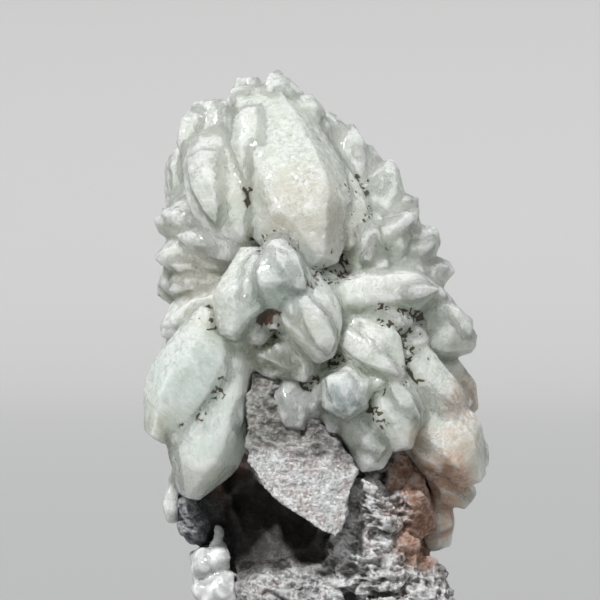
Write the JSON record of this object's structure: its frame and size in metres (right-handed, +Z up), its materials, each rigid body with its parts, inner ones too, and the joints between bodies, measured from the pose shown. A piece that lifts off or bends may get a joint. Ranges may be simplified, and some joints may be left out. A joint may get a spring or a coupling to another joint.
{
  "type": "quartz crystal cluster on matrix",
  "caption": "Natural mineral specimen: a dense crown of milky quartz crystals grown over a dark, rough rock stalk that rests on a small flat spot.",
  "frame": {"origin": "centre of the small flat spot that the stalk rests on", "axes": "+Z up along the stalk towards the crystal summit, -Y towards the side that the picture shows, +X to that side's right"},
  "size_m": [0.0564, 0.0493, 0.098],
  "materials": {
    "dark_rock": "rough granular rock",
    "milky_quartz": "frosty, milky and translucent"
  },
  "bodies": {
    "root": {"rock_stalk": "dark_rock", "crystal_crown": "milky_quartz", "lobed_growth": "milky_quartz"}
  },
  "joints": []
}
